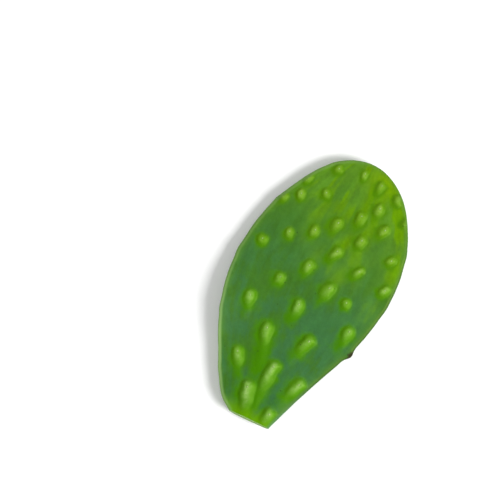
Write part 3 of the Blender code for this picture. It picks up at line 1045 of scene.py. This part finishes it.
def ground_colour(n, up, neck, noises):
    """The skin away from the bumps: blue-green below, lime towards the tip, mottled throughout, with
    painted shade in a hollow above the neck.
    """
    patches, fine, streaks, bands, mottle = noises
    clouds = n.vary(patches, mottle, BLUE_VARIES)
    blue = n.times(n.band(clouds, *BLUE_CLOUDS), n.band(up, *BLUE_HEIGHTS))
    colour = n.mix(blue, DEEP_GREEN, BLUE_GREEN)
    height = n.math("MULTIPLY_ADD", n.field("across"), TIP_LEANS, up)
    for source, amount in zip((bands, patches), TIP_VARIES):
        height = n.vary(height, source, amount)
    colour = n.mix(n.band(height, *TIP_HEIGHTS), colour, TIP_GREEN)
    # Painted shade: a dark blue-green patch above the neck, standing for the shade of a hollow
    colour = n.paint(colour, n.field("hollow"), HOLLOW_SHADE, HOLLOW_SHADE_SHARE)
    veins = n.times(n.band(bands, *VEIN_BANDS), n.band(height, *VEIN_HEIGHTS))
    edging = n.times(n.field("margin"), n.band(patches, *EDGING_PATCHES))
    lime = n.math("MAXIMUM", n.math("MAXIMUM", veins, n.field("lead")), edging)
    colour = n.mix(lime, colour, LIME_GREEN)
    colour = n.paint(colour, n.field("sunned"), SUN_LIME, SUNNED_SHARE)
    colour = n.mix(neck, colour, NECK_GREEN)
    shade = 1.0
    for source, amount in zip((streaks, patches, mottle, fine), SHADE_VARIES):
        shade = n.vary(shade, source, amount)
    return n.mix(1.0, colour, shade, "MULTIPLY")


def bump_colour(n, colour, up, neck, place):
    """Round each bump a halo that runs into its tail, on it lime shoulders and a pale crest that is
    partly a painted highlight.
    """
    shoulder, upper = n.field("shoulder"), n.band(up, *UPPER_HEIGHTS)
    halo = n.vary(n.field("halo"), n.noise(place, *HALO_FRAY), HALO_VARIES)
    glow = n.mix(neck, n.mix(upper, HALO_GREEN, HALO_LIME), NECK_GREEN)
    colour = n.mix(n.band(halo, *HALO_BAND), colour, glow)
    sides = n.mix(upper, SHOULDER_GREEN, SHOULDER_LIME)
    colour = n.paint(colour, shoulder, sides, SHOULDER_SHARE)
    # Painted highlight: the crest is partly a paler top, partly a painted highlight, broken up by
    # noise
    crest = n.times(n.field("crest"), n.band(n.noise(place, *CREST_BREAKUP), *CREST_BAND))
    colour = n.mix(crest, colour, n.mix(upper, CREST_GREEN, CREST_LIME))
    return n.paint(colour, n.times(n.dots(place, *FLECKS), shoulder), FLECK_PALE, FLECK_SHARE)


def marked_colour(n, colour, place):
    """The rim's painted highlight, its painted shade on the right and a painted reflection near the
    cut, pale pores, a few dark specks, and a greener spot under each areole.
    """
    # Painted highlight on the rim, painted shade on its right side, and a painted reflection near the
    # cut
    colour = n.mix(n.field("rim"), colour, RIM_GREEN)
    colour = n.paint(colour, n.field("shaded_rim"), RIM_SHADE, SHADED_RIM_SHARE)
    colour = n.paint(colour, n.field("edge_reflection"), REFLECTION_BLUE, REFLECTION_SHARE)
    colour = n.paint(colour, n.dots(place, *PORES), FLECK_PALE, PORE_SHARE)
    colour = n.paint(colour, n.dots(place, *SPECKS), SPECK_DARK, SPECK_SHARE)
    return n.paint(colour, n.field("spot"), HALO_GREEN, SPOT_SHARE)


def skin_material():
    """Waxy skin: satin, finely pored, and crusty on the scar."""
    n = Nodes("cactus_skin")
    place, flow, up = n.place(), n.field("flow", "Vector"), n.field("up")
    patches, fine = n.noise(place, *PATCHES), n.noise(place, *FINE)
    streaks, bands, mottle = (n.noise(flow, *kind) for kind in (STREAKS, BANDS, MOTTLE))
    neck = n.band(up, *NECK_HEIGHTS)
    colour = ground_colour(n, up, neck, (patches, fine, streaks, bands, mottle))
    colour = bump_colour(n, colour, up, neck, place)
    colour = marked_colour(n, colour, place)
    scar = n.band(n.vary(n.field("scar"), fine, SCAR_VARIES), *SCAR_BAND)
    cork = n.mix(n.band(n.noise(place, *CORK_GRAIN), *CORK_BAND), CORK_DARK, CORK_BROWN)
    n.join(n.mix(scar, colour, cork), n.shader.inputs["Base Color"])
    waxy = n.band(n.noise(place, *WAX), *WAX_ROUGHNESS)
    rough = n.math("MAXIMUM", waxy, n.times(scar, SCAR_ROUGHNESS))
    n.join(rough, n.shader.inputs["Roughness"])
    relief = n.bump(fine, *FINE_RELIEF)
    relief = n.bump(n.noise(place, *SKIN_GRAIN), *GRAIN_RELIEF, relief)
    relief = n.bump(n.times(scar, n.noise(place, *CORK_CRUST)), *CRUST_RELIEF, relief)
    n.join(relief, n.shader.inputs["Normal"])
    n.set_shader(SKIN_SHADER)
    return n.material


FLESH_PALE = (0.240, 0.410, 0.060, 1.0)
FLESH_GREEN = (0.120, 0.290, 0.010, 1.0)
FLESH_SKIN = (0.090, 0.240, 0.005, 1.0)
FLESH_VESSEL = (0.150, 0.270, 0.025, 1.0)
FLESH_FIBRES = (500.0, 3.0, 0.5)
FLESH_WETNESS = (900.0, 3.0, 0.5)
FLESH_GRAIN = (1400.0, 3.0, 0.5)
VESSELS = (700.0, 0.35, 0.2)
VESSEL_SHARE = 0.8
DEPTH_VARIES = 0.8
GREEN_DEPTHS = (0.15, 0.45)  # millimetres in from the skin, as are the next three
PALE_DEPTHS = (0.9, 2.2)
RING_STARTS = (1.4, 1.9)
RING_ENDS = (3.2, 2.6)
WET_ROUGHNESS = (0.3, 0.7, 0.16, 0.34)
WET_RELIEF = (0.25, 0.0003)
FLESH_SHADER = {
    "Specular IOR Level": 0.25,
    "Specular Tint": (0.8, 1.0, 0.4, 1.0),
    "Subsurface Weight": 0.3,
    "Subsurface Radius": (0.8, 1.0, 0.4),
    "Subsurface Scale": 0.002,
}


def flesh_material():
    """The cut end: skin line, green layer, then pale watery flesh with a ring of vessels."""
    n = Nodes("cut_flesh")
    place, depth = n.place(), n.field("flesh_depth")
    wavy = n.vary(depth, n.noise(place, *FLESH_FIBRES), DEPTH_VARIES)
    colour = n.mix(n.band(wavy, *GREEN_DEPTHS), FLESH_SKIN, FLESH_GREEN)
    colour = n.mix(n.band(wavy, *PALE_DEPTHS), colour, FLESH_PALE)
    ring = n.times(n.band(depth, *RING_STARTS), n.band(depth, *RING_ENDS))
    colour = n.paint(colour, n.times(ring, n.dots(place, *VESSELS)), FLESH_VESSEL, VESSEL_SHARE)
    n.join(colour, n.shader.inputs["Base Color"])
    wet = n.band(n.noise(place, *FLESH_WETNESS), *WET_ROUGHNESS)
    n.join(wet, n.shader.inputs["Roughness"])
    n.join(n.bump(n.noise(place, *FLESH_GRAIN), *WET_RELIEF), n.shader.inputs["Normal"])
    n.set_shader(FLESH_SHADER)
    return n.material


FELT_PALE = (0.330, 0.480, 0.170, 1.0)
FELT_DARK = (0.170, 0.300, 0.060, 1.0)
FELT_TUFTS = (1300.0, 3.0, 0.7)
FELT_FIBRES = (3500.0, 2.0, 0.5)
TUFT_BAND = (0.36, 0.62)
FIBRE_RELIEF = (0.6, 0.0003)
FELT_SHADER = {"Roughness": 0.9, "Specular IOR Level": 0.1}


def felt_material():
    """The short dull felt of an areole."""
    n = Nodes("areole_felt")
    place = n.place()
    tufts = n.band(n.noise(place, *FELT_TUFTS), *TUFT_BAND)
    n.join(n.mix(tufts, FELT_DARK, FELT_PALE), n.shader.inputs["Base Color"])
    n.join(n.bump(n.noise(place, *FELT_FIBRES), *FIBRE_RELIEF), n.shader.inputs["Normal"])
    n.set_shader(FELT_SHADER)
    return n.material


# ------------------------------------------------------------------------ the floor, light and camera

FLOOR_SIZE = 6.0
FLOOR_GAP = 0.0002
FLOOR_CLOUDS = (6.0, 3.0, 0.5)
FLOOR_ROUGHNESS = (0.3, 0.7, 0.55, 0.65)
FLOOR_SHADER = {"Base Color": (0.93, 0.93, 0.93, 1.0), "Specular IOR Level": 0.2}

LIGHTS = (  # name, azimuth and elevation in degrees, distance and size in metres, watts
    ("key", 0.0, 42.0, 1.2, 0.6, 18.2),
    ("fill", 150.0, 55.0, 1.4, 0.9, 6.5),
)
WORLD_STRENGTH = 0.37

VIEW_WIDTH = 0.3396  # of the surface, from one side of the picture to the other
VIEW_CENTRE = (-61.2, 111.9)  # in the pad's plan, millimetres
VIEW_TURN = math.radians(25.5)
LENS = 85.0
SENSOR = 36.0


def floor_material():
    n = Nodes("pale_surface")
    dull = n.band(n.noise(n.place(), *FLOOR_CLOUDS), *FLOOR_ROUGHNESS)
    n.join(dull, n.shader.inputs["Roughness"])
    n.set_shader(FLOOR_SHADER)
    return n.material


def add_floor():
    """A plain pale surface just under the pad."""
    bpy.ops.mesh.primitive_plane_add(size=FLOOR_SIZE, location=(0.0, 0.0, -FLOOR_GAP))
    floor = bpy.context.object
    floor.name = "floor"
    floor.data.materials.append(floor_material())


def add_light(name, azimuth, elevation, distance, size, power):
    """A square soft light that faces the pad. Azimuth 0 is the pad's right, 90 its tip."""
    lamp = bpy.data.lights.new(name, "AREA")
    lamp.size = size
    lamp.energy = power
    light = bpy.data.objects.new(name, lamp)
    a, e = math.radians(azimuth), math.radians(elevation)
    away = Vector((math.cos(a) * math.cos(e), math.sin(a) * math.cos(e), math.sin(e)))
    light.location = away * distance
    light.rotation_euler = away.to_track_quat("Z", "Y").to_euler()
    bpy.context.scene.collection.objects.link(light)


def light_the_studio():
    """A white surround, the lights, and colours shown as they are."""
    world = bpy.data.worlds.new("studio")
    world.use_nodes = True
    background = world.node_tree.nodes["Background"]
    background.inputs["Color"].default_value = (1.0, 1.0, 1.0, 1.0)
    background.inputs["Strength"].default_value = WORLD_STRENGTH
    bpy.context.scene.world = world
    for light in LIGHTS:
        add_light(*light)
    view = bpy.context.scene.view_settings
    view.view_transform = "Standard"
    view.look = "None"


def add_camera(shift, height):
    """Looks straight down on the pad, turned so that it leans as it does in the pile."""
    camera = bpy.data.cameras.new("camera")
    camera.lens = LENS
    camera.sensor_width = SENSOR
    holder = bpy.data.objects.new("camera", camera)
    bpy.context.scene.collection.objects.link(holder)
    x, y = ((value + move) * MM for value, move in zip(VIEW_CENTRE, shift))
    holder.location = (x, y, height + VIEW_WIDTH * LENS / SENSOR)
    holder.rotation_euler = (0.0, 0.0, VIEW_TURN)
    bpy.context.scene.camera = holder


def main():
    loop = outline(RIM_SAMPLES)
    bumps = {face: bumps_of(face, loop) for face in (1, -1)}
    pad, shift = build_pad(loop, bumps)
    pad.data.materials.append(skin_material())
    pad.data.materials.append(flesh_material())
    areoles = build_areoles(loop, bumps, shift)
    areoles.data.materials.append(felt_material())
    for piece in (pad, areoles):
        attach(piece, "root")
    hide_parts("pad")
    add_floor()
    light_the_studio()
    add_camera(shift, sum(corner[2] for corner in CAD_BOX) / 2.0)


main()
